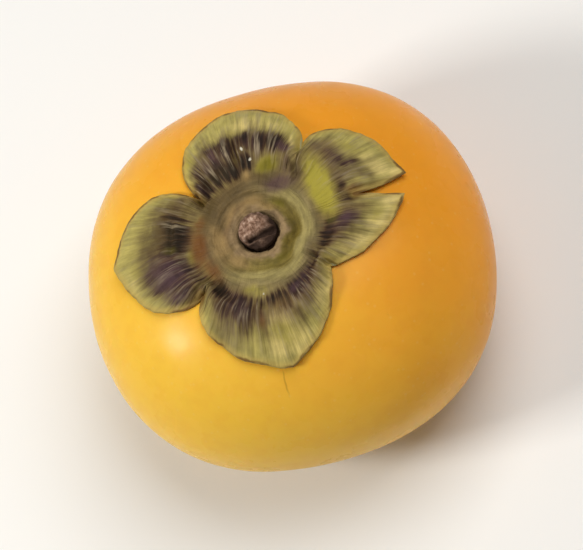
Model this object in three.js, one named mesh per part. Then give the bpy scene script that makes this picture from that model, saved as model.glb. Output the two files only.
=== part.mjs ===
// A ripe kaki persimmon, picked with its calyx on and set down on its blossom end.
//
// Millimetres, +Z up. The origin lies on the surface that the fruit stands on, under its middle, and
// +Z is the fruit's own axis: blossom end below, calyx and stem stub on top. Azimuths are in degrees,
// anticlockwise from +X as seen from above.
//
//   fruit_body  skin and flesh as one piece: a squat, slightly four-sided globe with a dimple at each
//               end, four shallow sutures that cross at the blossom end, and a small flat foot there
//   calyx       four leathery sepals, grown together into a ringed disc round the stalk; one is torn
//   stem_stub   the broken woody stalk, standing in the pit of the calyx
//   style_tip   the dried tip of the style, in the dimple of the blossom end

import * as THREE from 'three';

const { degToRad, lerp, clamp } = THREE.MathUtils;

// ---------------------------------------------------------------- driving dimensions

// Fruit body: heights are measured from its equator, its widest level.
const EQUATOR_RADIUS = 39;
const SHOULDER_RISE = 27; // equator to the crown, were it not dimpled
const BASE_DROP = 27; // equator to the blossom end, were it not dimpled
const SQUARENESS = { upper: 2.1, lower: 2.3 }; // exponent of the outline: 2 is an ellipse, more is squarer
const OVAL = { share: 0.029, azimuth: -23 }; // the long way across
const FOUR_SIDED = { share: 0.02, azimuth: 20 }; // the middle of one of four fuller sides
const STEM_DIMPLE = { depth: 3.6, width: 10 };
const STYLE_DIMPLE = { depth: 2.8, width: 5 };
const SUTURES = { count: 4, azimuth: 65, depth: 0.8, halfWidth: 2.6, fadeFrom: 0.3, fadeTo: 0.92 };
const FOOT_CUT = 0.35; // how far the flat foot is taken up from the lowest ring of the skin

// Calyx: a disc with rings round the stalk, and sepals beyond it that lie over the fruit's shoulder.
const AIR_GAP = 0.4; // upright, between pieces that touch
const DISC_RADIUS = 12;
// Rings of the disc from its centre: radius, and height of its upper face above the underside.
const DISC_RINGS = [
  { radius: 0, height: 0.8 }, // floor of the pit that the stalk stands in
  { radius: 4.1, height: 0.8 },
  { radius: 4.7, height: 2.0 }, // lip of the pit
  { radius: 5.9, height: 2.2 },
  { radius: 7.2, height: 1.4 }, // groove
  { radius: 9.0, height: 2.1 }, // outer ridge
  { radius: DISC_RADIUS, height: 1.2 }, // valley where the sepals start
];
const BLADE_THICKNESS = { root: 1.2, rim: 0.85 }; // upright; across the sloping rim it is less
const BLADE_STEPS = 7; // from the disc to the rim
const CREST = { lift: 1.5, at: 0.45, spread: 0.3 }; // the swell across the middle of a sepal
const RIM_WAVE = { lift: 0.8, perTurn: 13, start: 40 };
const TIP_CURL = 1.1; // how far the rim stands off the fruit at a sepal's tip

// The calyx's outline as corners, anticlockwise: tips and the notches between them. The side that
// leads to the next corner has a taper, from 0, round-shouldered, to 1, evenly narrowing, a
// bluntness at its tip, 1 for a point and 2 for a round end, and its own number of steps.
const OUTLINE = [
  { azimuth: -64, radius: 15.1, taper: 0.98, blunt: 1, steps: 13 },
  { azimuth: -20, radius: 27.6, tip: true, taper: 0.85, blunt: 1, steps: 4 },
  { azimuth: -16.2, radius: 19.2, taper: 0.85, blunt: 1, steps: 4 }, // end of the tear
  { azimuth: -11.7, radius: 29.1, tip: true, taper: 0.33, blunt: 1, steps: 13 },
  { azimuth: 30.5, radius: 19.2, taper: 0.8, blunt: 2, steps: 13 },
  { azimuth: 72.8, radius: 27.3, tip: true, taper: 0.75, blunt: 2, steps: 14 },
  { azimuth: 112, radius: 13.3, taper: 0.35, blunt: 1.1, steps: 14 },
  { azimuth: 150, radius: 29.8, tip: true, taper: 0.57, blunt: 1.1, steps: 13 },
  { azimuth: 191, radius: 15.8, taper: 0.55, blunt: 1, steps: 14 },
  { azimuth: 247, radius: 25.7, tip: true, taper: 0.95, blunt: 1, steps: 14 },
];

// Stem stub: a short broken stalk, wider at its root.
const STUB = { rootRadius: 3.6, neckRadius: 3.1, topRadius: 3.3, height: 3.1, roughness: 0.22 };

// Style tip: a dry bristle-like point that hangs in the blossom end's dimple.
const STYLE = { radius: 0.9, length: 1.4 };

const FRUIT_SEGMENTS = { around: 64, along: 40 };

// ---------------------------------------------------------------- helpers

const bump = (x, width) => Math.exp(-((x / width) ** 2));
const turnCosine = (azimuth, times) => Math.cos(degToRad(azimuth) * times);

// Moves every vertex of a geometry with place(vertex, u, v), where u and v are its texture
// coordinates, and returns it with fresh normals.
function reshape(geometry, place) {
  const { position, uv } = geometry.attributes;
  const vertex = new THREE.Vector3();
  for (let i = 0; i < position.count; i += 1) {
    place(vertex.fromBufferAttribute(position, i), uv.getX(i), uv.getY(i));
    position.setXYZ(i, vertex.x, vertex.y, vertex.z);
  }
  geometry.computeVertexNormals();
  return geometry;
}

const setPolar = (vertex, azimuth, radius, z) =>
  vertex.set(radius * Math.cos(degToRad(azimuth)), radius * Math.sin(degToRad(azimuth)), z);

function mesh(name, geometry, color, roughness) {
  const made = new THREE.Mesh(geometry, new THREE.MeshStandardMaterial({ color, roughness, metalness: 0 }));
  made.name = name;
  return made;
}

// ---------------------------------------------------------------- fruit body

// Radius of the equator at an azimuth.
const girth = (azimuth) =>
  EQUATOR_RADIUS *
  (1 + OVAL.share * turnCosine(azimuth - OVAL.azimuth, 2) +
    FOUR_SIDED.share * turnCosine(azimuth - FOUR_SIDED.azimuth, 4));

// The plain outline's height at a share of the girth, for a height of 1 at the axis.
const outlineHeight = (share, squareness) => Math.max(0, 1 - share ** squareness) ** (1 / squareness);

// Height of the upper skin above the equator.
const upperSkin = (azimuth, radius) =>
  SHOULDER_RISE * outlineHeight(radius / girth(azimuth), SQUARENESS.upper) -
  STEM_DIMPLE.depth * bump(radius, STEM_DIMPLE.width);

// Depth of the nearest suture's groove.
function sutureDepth(azimuth, radius) {
  const pitch = 360 / SUTURES.count;
  const nearest = THREE.MathUtils.euclideanModulo(azimuth - SUTURES.azimuth + pitch / 2, pitch) - pitch / 2;
  const across = radius * Math.sin(degToRad(nearest));
  const fade = 1 - THREE.MathUtils.smoothstep(radius / girth(azimuth), SUTURES.fadeFrom, SUTURES.fadeTo);
  return SUTURES.depth * bump(across, SUTURES.halfWidth) * fade;
}

// Drop of the lower skin below the equator, before the foot is flattened.
const lowerSkin = (azimuth, radius) =>
  BASE_DROP * outlineHeight(radius / girth(azimuth), SQUARENESS.lower) -
  STYLE_DIMPLE.depth * bump(radius, STYLE_DIMPLE.width) -
  sutureDepth(azimuth, radius);

// How far the flat foot lies below the equator: a little less than the skin does at its lowest,
// which is halfway between two sutures.
const midwayAzimuth = SUTURES.azimuth + 180 / SUTURES.count;
const radiiByTenths = Array.from({ length: 10 * EQUATOR_RADIUS }, (_, i) => i / 10);
const footDrop = Math.max(...radiiByTenths.map((radius) => lowerSkin(midwayAzimuth, radius))) - FOOT_CUT;

// A sphere whose rings become the body's rings: the upper half the upper skin, the rest the lower.
function fruitBody() {
  const sphere = new THREE.SphereGeometry(1, FRUIT_SEGMENTS.around, FRUIT_SEGMENTS.along);
  return reshape(sphere, (vertex, u, v) => {
    const azimuth = 360 * u;
    const colatitude = Math.PI * (1 - v);
    const isUpper = v > 0.5;
    const squareness = isUpper ? SQUARENESS.upper : SQUARENESS.lower;
    const radius = girth(azimuth) * Math.sin(colatitude) ** (2 / squareness);
    const height = isUpper ? upperSkin(azimuth, radius) : -lowerSkin(azimuth, radius);
    setPolar(vertex, azimuth, radius, Math.max(-footDrop, height));
  });
}

// ---------------------------------------------------------------- calyx

// How far along a side's rise or fall the rim is, at share s of the way from its notch to its tip.
const sideShape = (s, { taper, blunt }) =>
  (1 - taper) * Math.sqrt(1 - (1 - s) ** 4) + taper * (1 - (1 - s) ** blunt);

// The rays from the axis to the rim, one for each step of the outline: azimuth, reach, and how near
// the ray is to a tip, from 0 in a notch to 1 at the tip.
function outlineRays() {
  const rays = [];
  OUTLINE.forEach((corner, index) => {
    const next = OUTLINE[(index + 1) % OUTLINE.length];
    const turn = (next.azimuth - corner.azimuth + 360) % 360;
    const [notch, tip] = corner.tip ? [next, corner] : [corner, next];
    for (let step = 0; step < corner.steps; step += 1) {
      const along = step / corner.steps;
      const fromNotch = (corner.tip ? 1 - along : along) ** 1.5; // closer steps by the notch
      const share = corner.tip ? 1 - fromNotch : fromNotch;
      rays.push({
        azimuth: corner.azimuth + turn * share,
        reach: lerp(notch.radius, tip.radius, sideShape(fromNotch, corner)),
        tipness: fromNotch,
      });
    }
  });
  return rays;
}

// How far the calyx's underside stands off the fruit. blade is 0 at the disc and 1 at the rim.
function undersideLift(azimuth, blade, tipness) {
  const crest = CREST.lift * (bump(blade - CREST.at, CREST.spread) - bump(CREST.at, CREST.spread));
  const wave = RIM_WAVE.lift * (0.5 + 0.5 * turnCosine(azimuth - RIM_WAVE.start, RIM_WAVE.perTurn)) * blade ** 2;
  const curl = TIP_CURL * (tipness * blade) ** 4;
  return Math.max(0, crest) * clamp(blade * 3, 0, 1) + wave * (1 - tipness) + curl;
}

// Rows of the calyx's two faces, from the middle of the upper one over the rim to the middle below.
const faceRows = [
  ...DISC_RINGS.map((ring) => ({ ...ring, blade: 0 })),
  ...Array.from({ length: BLADE_STEPS }, (_, i) => {
    const blade = (i + 1) / BLADE_STEPS;
    return { radius: DISC_RADIUS, height: lerp(BLADE_THICKNESS.root, BLADE_THICKNESS.rim, blade), blade };
  }),
];
const calyxRows = [...faceRows, ...faceRows.map((row) => ({ ...row, height: 0 })).reverse()];

// A sphere's quads are all cut corner to corner the same way, so the lower face's, seen from above,
// are cut the other way from the upper's. This recuts them to match, as a thin waved blade needs.
// Each quad between two rings is six entries of the index; by a pole there is one triangle instead.
function matchLowerFace(sphere, columns, rings) {
  const { array } = sphere.index;
  const quadsFrom = (ring) => 3 * columns + (ring - 1) * 6 * columns;
  for (let i = quadsFrom((rings + 1) / 2); i < quadsFrom(rings - 1); i += 6) {
    const [a, b, d, , c] = array.slice(i, i + 6);
    array.set([a, b, c, a, c, d], i);
  }
  return sphere;
}

// A sphere whose meridians become the outline's rays and whose rings become the two faces' rows.
function calyx() {
  const rays = outlineRays();
  const rings = calyxRows.length - 1;
  const sphere = matchLowerFace(new THREE.SphereGeometry(1, rays.length, rings), rays.length, rings);
  return reshape(sphere, (vertex, u, v) => {
    const ray = rays[Math.round(u * rays.length) % rays.length];
    const row = calyxRows[Math.round((1 - v) * rings)];
    const radius = lerp(row.radius, ray.reach, row.blade);
    const under = upperSkin(ray.azimuth, radius) + undersideLift(ray.azimuth, row.blade, ray.tipness);
    setPolar(vertex, ray.azimuth, radius, under + row.height);
  });
}

// ---------------------------------------------------------------- stem stub and style tip

function stemStub() {
  const { rootRadius, neckRadius, topRadius, height } = STUB;
  const profile = [
    [0, 0],
    [rootRadius * 0.7, 0],
    [rootRadius, 0.35],
    [rootRadius * 0.93, 0.9],
    [neckRadius, height * 0.55],
    [topRadius, height * 0.85],
    [topRadius * 0.8, height],
    [topRadius * 0.4, height * 0.93],
    [0, height * 0.84],
  ].map(([x, y]) => new THREE.Vector2(x, y));
  const turned = new THREE.LatheGeometry(profile, 24).rotateX(Math.PI / 2);
  return reshape(turned, (vertex, u) => {
    const turn = 360 * u;
    const share = vertex.z / height;
    const fibres = 1 + STUB.roughness * 0.35 * turnCosine(turn, 6) * share;
    const broken = STUB.roughness * turnCosine(turn + 50, 3) * Math.hypot(vertex.x, vertex.y) * share ** 3;
    vertex.set(vertex.x * fibres, vertex.y * fibres, vertex.z + broken);
  });
}

// Its root is on top and its point hangs down.
function styleTip() {
  const profile = [
    [0, 0],
    [STYLE.radius, 0],
    [STYLE.radius * 0.7, STYLE.length * 0.4],
    [STYLE.radius * 0.3, STYLE.length * 0.85],
    [0, STYLE.length],
  ].map(([x, y]) => new THREE.Vector2(x, y));
  return new THREE.LatheGeometry(profile, 10).rotateX(-Math.PI / 2);
}

// ---------------------------------------------------------------- the persimmon

// The pieces' heights are measured from the fruit's equator, so they are raised together until the
// foot stands at zero.
const fruit = new THREE.Group();
fruit.position.z = footDrop;

const calyxMesh = mesh('calyx', calyx(), 0x8a8450, 0.7);
calyxMesh.position.z = AIR_GAP;

const stubMesh = mesh('stem_stub', stemStub(), 0x7a5f48, 0.85);
stubMesh.position.z = upperSkin(0, 0) + AIR_GAP + DISC_RINGS[0].height + AIR_GAP;

const styleMesh = mesh('style_tip', styleTip(), 0x2e2118, 0.9);
styleMesh.position.z = -lowerSkin(0, 0) - AIR_GAP;

fruit.add(mesh('fruit_body', fruitBody(), 0xf0a338, 0.38), calyxMesh, stubMesh, styleMesh);

const persimmon = new THREE.Group();
persimmon.name = 'persimmon';
persimmon.add(fruit);

export default persimmon;
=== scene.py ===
"""Persimmon: a ripe, squat kaki persimmon with its calyx on, standing on its blossom end.

Sizes are in millimetres in the settings and in metres in the scene. +Z is the fruit's own axis, and
azimuths are in degrees, anticlockwise from +X as seen from above. The frame's solids give the sizes
and the places; the pieces made here are the finer skin, calyx, stalk and style that replace them.
"""

import math

import bpy
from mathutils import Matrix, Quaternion, Vector, kdtree, noise


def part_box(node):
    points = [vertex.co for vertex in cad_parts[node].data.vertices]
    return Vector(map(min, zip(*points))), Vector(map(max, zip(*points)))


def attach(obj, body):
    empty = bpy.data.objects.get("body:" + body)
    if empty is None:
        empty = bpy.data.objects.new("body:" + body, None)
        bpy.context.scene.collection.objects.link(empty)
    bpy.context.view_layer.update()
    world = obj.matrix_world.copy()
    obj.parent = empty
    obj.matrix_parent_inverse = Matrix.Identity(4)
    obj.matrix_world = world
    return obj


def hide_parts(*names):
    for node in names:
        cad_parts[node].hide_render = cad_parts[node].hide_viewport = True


bl_info = {
    "name": "Kaki Persimmon",
    "version": (1, 0, 0),
    "blender": (4, 5, 0),
    "location": "3D View > Sidebar > Persimmon",
    "description": "Builds a kaki persimmon with its calyx, stalk and style, and a stage to show it on",
    "category": "Add Mesh",
}

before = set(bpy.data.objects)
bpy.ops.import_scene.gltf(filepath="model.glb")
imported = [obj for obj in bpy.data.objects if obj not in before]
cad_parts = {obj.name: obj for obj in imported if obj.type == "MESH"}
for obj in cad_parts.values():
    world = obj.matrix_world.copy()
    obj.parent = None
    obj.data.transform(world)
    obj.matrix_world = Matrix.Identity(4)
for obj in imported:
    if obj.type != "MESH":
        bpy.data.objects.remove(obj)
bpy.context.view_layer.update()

MM = 0.001


def level(node, end):
    """Height in millimetres of a node's lowest (end 0) or highest (end 1) point."""
    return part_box(node)[end].z / MM


# ---------------------------------------------------------------- numbers shared by the pieces


def linear(code):
    """Linear red, green and blue of an sRGB hex code such as "#F0A338"."""
    channels = [int(code[i : i + 2], 16) / 255 for i in (1, 3, 5)]
    return tuple(c / 12.92 if c <= 0.04045 else ((c + 0.055) / 1.055) ** 2.4 for c in channels)


def clamp(x, low=0.0, high=1.0):
    return max(low, min(high, x))


def lerp(a, b, share):
    return a + (b - a) * share


def smoothstep(x, low, high):
    t = clamp((x - low) / (high - low))
    return t * t * (3 - 2 * t)


def bump(x, width):
    return math.exp(-((x / width) ** 2))


def turn_cosine(azimuth, times):
    return math.cos(math.radians(azimuth) * times)


def polar(azimuth, radius, z):
    """A point in metres from an azimuth in degrees and a radius and height in millimetres."""
    angle = math.radians(azimuth)
    return Vector((radius * math.cos(angle), radius * math.sin(angle), z)) * MM


def turn_between(a, b):
    """The way from azimuth a to azimuth b, between -180 and 180 degrees."""
    return (b - a + 180) % 360 - 180


# ---------------------------------------------------------------- fruit body outline

SQUARENESS_UPPER = 2.1  # exponent of the outline: 2 is an ellipse, more is squarer
SQUARENESS_LOWER = 2.3
OVAL = (0.029, -23)  # share of the girth, azimuth of the long way across
FOUR_SIDED = (0.02, 20)  # share of the girth, azimuth of one fuller side
STEM_DIMPLE = (3.6, 10)  # depth, width
STYLE_DIMPLE = (2.8, 5)
SUTURE_AZIMUTH = 65
SUTURE_COUNT = 4
SUTURE_HALF_WIDTH = 2.6
FOOT_CUT = 0.35  # how far the flat foot lies above the skin's lowest ring
FOOT_EDGE = 0.2  # width of the foot's soft edge
HAIRLINE_AZIMUTH = -117.7


def girth(fruit, azimuth):
    """Radius at the equator in one direction."""
    oval = OVAL[0] * turn_cosine(azimuth - OVAL[1], 2)
    sides = FOUR_SIDED[0] * turn_cosine(azimuth - FOUR_SIDED[1], 4)
    return fruit.equator_radius * (1 + oval + sides)


def outline_height(share, squareness):
    return max(0.0, 1 - share**squareness) ** (1 / squareness)


def upper_skin(fruit, azimuth, radius):
    """Height of the upper skin above the equator."""
    plain = outline_height(radius / girth(fruit, azimuth), SQUARENESS_UPPER)
    return fruit.shoulder_rise * plain - STEM_DIMPLE[0] * bump(radius, STEM_DIMPLE[1])


def suture_depth(fruit, azimuth, radius):
    pitch = 360 / SUTURE_COUNT
    nearest = (azimuth - SUTURE_AZIMUTH + pitch / 2) % pitch - pitch / 2
    across = radius * math.sin(math.radians(nearest))
    fade = 1 - smoothstep(radius / girth(fruit, azimuth), 0.3, 0.92)
    return fruit.suture_depth * bump(across, SUTURE_HALF_WIDTH) * fade


def lower_skin(fruit, azimuth, radius):
    """Drop of the lower skin below the equator."""
    plain = outline_height(radius / girth(fruit, azimuth), SQUARENESS_LOWER)
    dimple = STYLE_DIMPLE[0] * bump(radius, STYLE_DIMPLE[1])
    return fruit.base_drop * plain - dimple - suture_depth(fruit, azimuth, radius)


def equator_height(fruit):
    """Height of the equator above the surface that the fruit stands on."""
    midway = SUTURE_AZIMUTH + 180 / SUTURE_COUNT
    radii = (tenths / 10 for tenths in range(round(10 * fruit.equator_radius)))
    lowest = max(lower_skin(fruit, midway, radius) for radius in radii)
    return lowest - FOOT_CUT


# ---------------------------------------------------------------- settings


def size(name, description, default, **limits):
    """A length in millimetres, which Blender would otherwise take for metres."""
    description += ", in mm"
    return bpy.props.FloatProperty(name=name, description=description, default=default, **limits)


def power(name, default):
    return bpy.props.FloatProperty(name=name, description="Power in watts", default=default, min=0)


def colour(name, description, code):
    return bpy.props.FloatVectorProperty(
        name=name, description=description, subtype="COLOR", size=3, min=0, max=1, default=linear(code)
    )


class FruitSettings(bpy.types.PropertyGroup):
    equator_radius: size("Equator radius", "Radius at the widest level", 39.0, min=20, max=60)
    shoulder_rise: size("Shoulder rise", "Equator to crown, without the dimple", 27.0, min=10, max=60)
    base_drop: size("Base drop", "Equator to blossom end, without the dimple", 27.0, min=10, max=60)
    suture_depth: size("Suture depth", "Depth of the four grooves at the blossom end", 0.8, min=0, max=3)
    unevenness: size("Unevenness", "How far the skin swells and sinks", 0.22, min=0, max=1)
    # The yellow side faces the key light: its yellow is partly the skin's own colour and partly painted
    # light.
    yellow: colour("Yellow side", "Skin that ripened in the shade", "#F4C344")
    orange: colour("Orange side", "Skin that faced the sun", "#F09D2B")
    olive: colour("Blossom end", "Greenish yellow round the style", "#CDA436")


class CalyxSettings(bpy.types.PropertyGroup):
    gap: size("Gap", "Between the calyx and the fruit", 0.25, min=0.1, max=1)
    disc_radius: size("Disc radius", "Where the sepals start", 12.0, min=5, max=20)
    rim_thickness: size("Rim thickness", "Thickness of a sepal at its edge", 0.4, min=0.3, max=2)
    vein_height: size("Vein height", "How far the veins stand out", 0.32, min=0, max=0.5)
    olive: colour("Olive", "The sepals' ground colour", "#8C7A48")
    brown: colour("Dry olive", "Drier ground, in clouds", "#73603C")
    margin: colour("Margin", "Yellow-green towards the edges", "#AA9C56")
    # The dark band and darkest colours are partly the sepals' own colour and partly painted shade.
    dark: colour("Dark band", "Brown streaks across each sepal", "#46301E")
    blackest: colour("Darkest", "Deepest part of the dark band", "#1C1206")
    green: colour("Bright green", "Patches where a sepal leaves the disc", "#A29538")
    # Moss is partly the sepals' deep green and partly painted shade in the hollows.
    moss: colour("Moss", "Deep green in the hollows", "#6E6414")
    rust: colour("Rust", "Reddish brown on one side of the disc", "#6E441E")
    # Mauve is partly the sepals' own purple tint and partly painted shade.
    mauve: colour("Mauve", "Dull purple over the dark bands", "#533A40")
    tan: colour("Tan", "Dry lip of the pit", "#9C8050")
    # Pale is partly dry tips and partly painted light on margins and folds.
    pale: colour("Pale", "Dry tips and folds", "#D9C27A")
    edge: colour("Dried edge", "Thin brown line along the rim", "#6B4A20")


class StalkSettings(bpy.types.PropertyGroup):
    stub_radius: size("Stub radius", "Radius of the broken stalk", 3.4, min=1, max=4)
    stub_wood: colour("Broken wood", "Pinkish brown of the break", "#A88670")
    # The bark colour is also used as painted shade in the stub's cracks and low on its sides.
    stub_bark_and_shade: colour("Bark", "Dark sides and cracks of the stub", "#2E1C10")
    style_colour: colour("Style", "The withered style", "#1E1510")


class StageSettings(bpy.types.PropertyGroup):
    floor_colour: colour("Floor", "Plain pale floor", "#F4F3F0")
    key_power: power("Key light", 2.2)
    top_power: power("Top light", 4.6)
    fill_power: power("Fill light", 0.15)


# ---------------------------------------------------------------- making meshes


def new_sphere(context, name, segments, rings):
    """A unit sphere, the start of a closed piece whose rings are moved on to its own outline."""
    bpy.ops.object.select_all(action="DESELECT")
    bpy.ops.mesh.primitive_uv_sphere_add(segments=segments, ring_count=rings, radius=1)
    piece = context.object
    piece.name = name
    piece.data.name = name
    return piece


def ring_and_column(vertex, rings, columns):
    """Which ring, from the top pole, and which meridian of a unit sphere a vertex lies on."""
    ring = round(math.acos(clamp(vertex.co.z, -1, 1)) / math.pi * rings)
    column = round(math.atan2(vertex.co.y, vertex.co.x) / math.tau * columns) % columns
    return ring, column


def finish_piece(piece, node, material):
    """Gives a piece its material and smooth faces, hangs it under the root, and hides the node that it
    replaces.
    """
    piece.data.materials.clear()
    piece.data.materials.append(material)
    for polygon in piece.data.polygons:
        polygon.use_smooth = True
    piece.data.update()
    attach(piece, "root")
    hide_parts(node)


def put_attribute(mesh, name, values, kind="FLOAT"):
    attribute = mesh.attributes.new(name, kind, "POINT")
    field = "value" if kind == "FLOAT" else "vector"
    flat = values if kind == "FLOAT" else [x for value in values for x in value]
    attribute.data.foreach_set(field, flat)


# ---------------------------------------------------------------- making materials


def add(tree, kind, inputs=None, **settings):
    """Adds a node. inputs holds, by name or number, a value or the socket that feeds it."""
    node = tree.nodes.new(kind)
    for name, value in settings.items():
        setattr(node, name, value)
    for name, value in (inputs or {}).items():
        if isinstance(value, bpy.types.NodeSocket):
            tree.links.new(value, node.inputs[name])
        else:
            node.inputs[name].default_value = value
    return node


def blend(tree, share, low, high):
    """Mixes two colours, each a colour or a socket, and returns the mixed colour's socket."""
    as_input = lambda c: c if isinstance(c, bpy.types.NodeSocket) else (*c[:3], 1)
    inputs = {0: share, 6: as_input(low), 7: as_input(high)}
    return add(tree, "ShaderNodeMix", inputs, data_type="RGBA").outputs[2]


def between(tree, value, low, high, to_low=0.0, to_high=1.0):
    """Maps a value smoothly from low..high to to_low..to_high."""
    inputs = {"Value": value, "From Min": low, "From Max": high, "To Min": to_low, "To Max": to_high}
    return add(tree, "ShaderNodeMapRange", inputs, interpolation_type="SMOOTHSTEP").outputs[0]


def maths(tree, operation, a, b=0.0):
    return add(tree, "ShaderNodeMath", {0: a, 1: b}, operation=operation).outputs[0]


def times(tree, a, b):
    return maths(tree, "MULTIPLY", a, b)


def scaled(tree, vector, factors):
    """A vector with its three parts multiplied by three factors."""
    return add(tree, "ShaderNodeVectorMath", {0: vector, 1: factors}, operation="MULTIPLY").outputs[0]


def toward(tree, vector, direction):
    """How far a vector reaches in a direction."""
    node = add(tree, "ShaderNodeVectorMath", {0: vector, 1: direction}, operation="DOT_PRODUCT")
    return node.outputs["Value"]


def dimmed(tree, tone, factor):
    """A colour made darker or lighter by a factor."""
    return add(tree, "ShaderNodeVectorMath", {0: tone, "Scale": factor}, operation="SCALE").outputs[0]


def grain(tree, vector, feature, detail=3.0, roughness=0.55):
    """Noise whose features are about the given size, in the units of the vector."""
    inputs = {"Vector": vector, "Scale": 1 / feature, "Detail": detail, "Roughness": roughness}
    return add(tree, "ShaderNodeTexNoise", inputs).outputs["Fac"]


def attribute(tree, name, output="Fac"):
    return add(tree, "ShaderNodeAttribute", attribute_name=name).outputs[output]


def new_material(name):
    material = bpy.data.materials.new(name)
    material.use_nodes = True
    tree = material.node_tree
    return material, tree, tree.nodes["Principled BSDF"]


def connect(tree, shader, **sockets):
    """Feeds the shader's sockets, named with _ for a space, from values or from other sockets."""
    for name, value in sockets.items():
        target = shader.inputs[name.replace("_", " ")]
        if isinstance(value, bpy.types.NodeSocket):
            tree.links.new(value, target)
        else:
            target.default_value = value


def raised(tree, height, distance, strength=1.0, under=None):
    """A bump of the given depth in metres, on top of another bump's normal if there is one."""
    inputs = {"Height": height, "Distance": distance, "Strength": strength}
    if under is not None:
        inputs["Normal"] = under
    return add(tree, "ShaderNodeBump", inputs).outputs[0]


# ---------------------------------------------------------------- fruit body


def skin_material(fruit):
    """Ripe kaki skin, grown: thin, taut and waxed, with translucent flesh close behind it."""
    material, tree, shader = new_material("kaki_skin_waxed")
    place = add(tree, "ShaderNodeTexCoord").outputs["Object"]
    axes = add(tree, "ShaderNodeSeparateXYZ", {0: place})

    # One side ripened in the sun and is orange, the other yellow; the yellow lies on the -X side, where
    # the key light falls, so the change is partly the skin's own colour and partly painted light. The
    # change takes most of the width and is cloudy.
    cloud = grain(tree, place, 22 * MM, 2)
    orange_away_from_key = maths(tree, "ADD", toward(tree, place, (0.90, 0.27, 0.18)), times(tree, cloud, 22 * MM))
    base = blend(tree, between(tree, orange_away_from_key, -16 * MM, 46 * MM), fruit.yellow, fruit.orange)

    # The blossom end stays greener.
    low = between(tree, axes.outputs["Z"], 14 * MM, 0.5 * MM)
    base = blend(tree, times(tree, low, 0.75), base, fruit.olive)

    # Faint mottling, in 3 mm patches, and pale dots half a millimetre across, about 2 mm apart.
    mottle = between(tree, grain(tree, place, 3.2 * MM, 4), 0.42, 0.66)
    base = blend(tree, times(tree, mottle, 0.10), base, linear("#D98A2C"))
    dots = add(tree, "ShaderNodeTexVoronoi", {"Vector": place, "Scale": 1 / (2.1 * MM), "Randomness": 1})
    dots = between(tree, dots.outputs["Distance"], 0.17, 0.08)
    base = blend(tree, times(tree, dots, 0.10), base, linear("#FBE3A0"))

    # A few thin brownish rubs.
    turned = {"Vector": place, "Rotation": (0.3, 0.2, 0.9), "Scale": (1, 0.3, 1)}
    stretched = add(tree, "ShaderNodeMapping", turned).outputs[0]
    rub = between(tree, grain(tree, stretched, 2.4 * MM, 5, 0.7), 0.70, 0.80)
    rub = times(tree, rub, between(tree, axes.outputs["Z"], 22 * MM, 32 * MM, 0.0, 0.25))
    base = blend(tree, rub, base, linear("#A8692A"))

    # A brown hairline, 4 mm long and 0.2 mm wide, runs out from the lowest sepal's tip.
    turn = maths(tree, "ARCTAN2", axes.outputs["Y"], axes.outputs["X"])
    flat = scaled(tree, place, (1, 1, 0))
    reach = add(tree, "ShaderNodeVectorMath", {0: flat}, operation="LENGTH").outputs["Value"]
    bend = times(tree, grain(tree, place, 2.5 * MM, 1), 0.03)
    aside = maths(tree, "SUBTRACT", turn, math.radians(HAIRLINE_AZIMUTH))
    aside = maths(tree, "ABSOLUTE", maths(tree, "ADD", aside, bend))
    line = between(tree, aside, 0.008, 0.003)
    line = times(tree, line, between(tree, reach, 30 * MM, 28 * MM))
    line = times(tree, line, between(tree, reach, 25 * MM, 26 * MM))
    base = blend(tree, times(tree, line, 0.34), base, linear("#7A4A18"))

    gloss = between(tree, grain(tree, place, 9 * MM, 3), 0.3, 0.7, 0.23, 0.33)
    pores = raised(tree, grain(tree, place, 0.7 * MM, 2), 0.01 * MM, 0.2)
    waves = raised(tree, grain(tree, place, 6 * MM, 1), 0.10 * MM, 0.5, pores)
    connect(
        tree,
        shader,
        Base_Color=base,
        Roughness=gloss,
        Normal=waves,
        IOR=1.42,
        Specular_IOR_Level=0.13,
        Subsurface_Weight=0.22,
        Subsurface_Radius=(1.0, 0.38, 0.12),
        Subsurface_Scale=4 * MM,
    )
    return material


class PERSIMMON_OT_fruit_body(bpy.types.Operator):
    """Makes the skin and flesh: a squat globe with a dimple at each end and four shallow sutures"""

    bl_idname = "persimmon.fruit_body"
    bl_label = "Fruit Body"

    def execute(self, context):
        fruit = context.scene.persimmon_fruit
        rings, columns = 168, 256
        piece = new_sphere(context, "fruit_body_skin", columns, rings)
        equator = equator_height(fruit)
        for vertex in piece.data.vertices:
            ring, column = ring_and_column(vertex, rings, columns)
            vertex.co = self.skin_point(fruit, 360 * column / columns, math.pi * ring / rings, equator)
        finish_piece(piece, "fruit_body", skin_material(fruit))
        return {"FINISHED"}

    @staticmethod
    def skin_point(fruit, azimuth, colatitude, equator):
        is_upper = colatitude < math.pi / 2
        squareness = SQUARENESS_UPPER if is_upper else SQUARENESS_LOWER
        radius = girth(fruit, azimuth) * math.sin(colatitude) ** (2 / squareness)
        if is_upper:
            z = equator + upper_skin(fruit, azimuth, radius)
        else:
            z = equator - lower_skin(fruit, azimuth, radius)
        # The flat foot has a soft edge.
        z = 0.5 * (z + math.hypot(z, FOOT_EDGE))
        point = polar(azimuth, radius, z)
        # Swells and hollows 20 mm and 9 mm across, which die out at the foot.
        outward = (point - Vector((0, 0, equator * MM))).normalized()
        swell = noise.noise(point / (20 * MM)) + 0.35 * noise.noise(point / (9 * MM) + Vector((7, 3, 1)))
        return point + outward * (swell - 0.55) * fruit.unevenness * MM * smoothstep(z, 0.2, 6)


# ---------------------------------------------------------------- calyx

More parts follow.
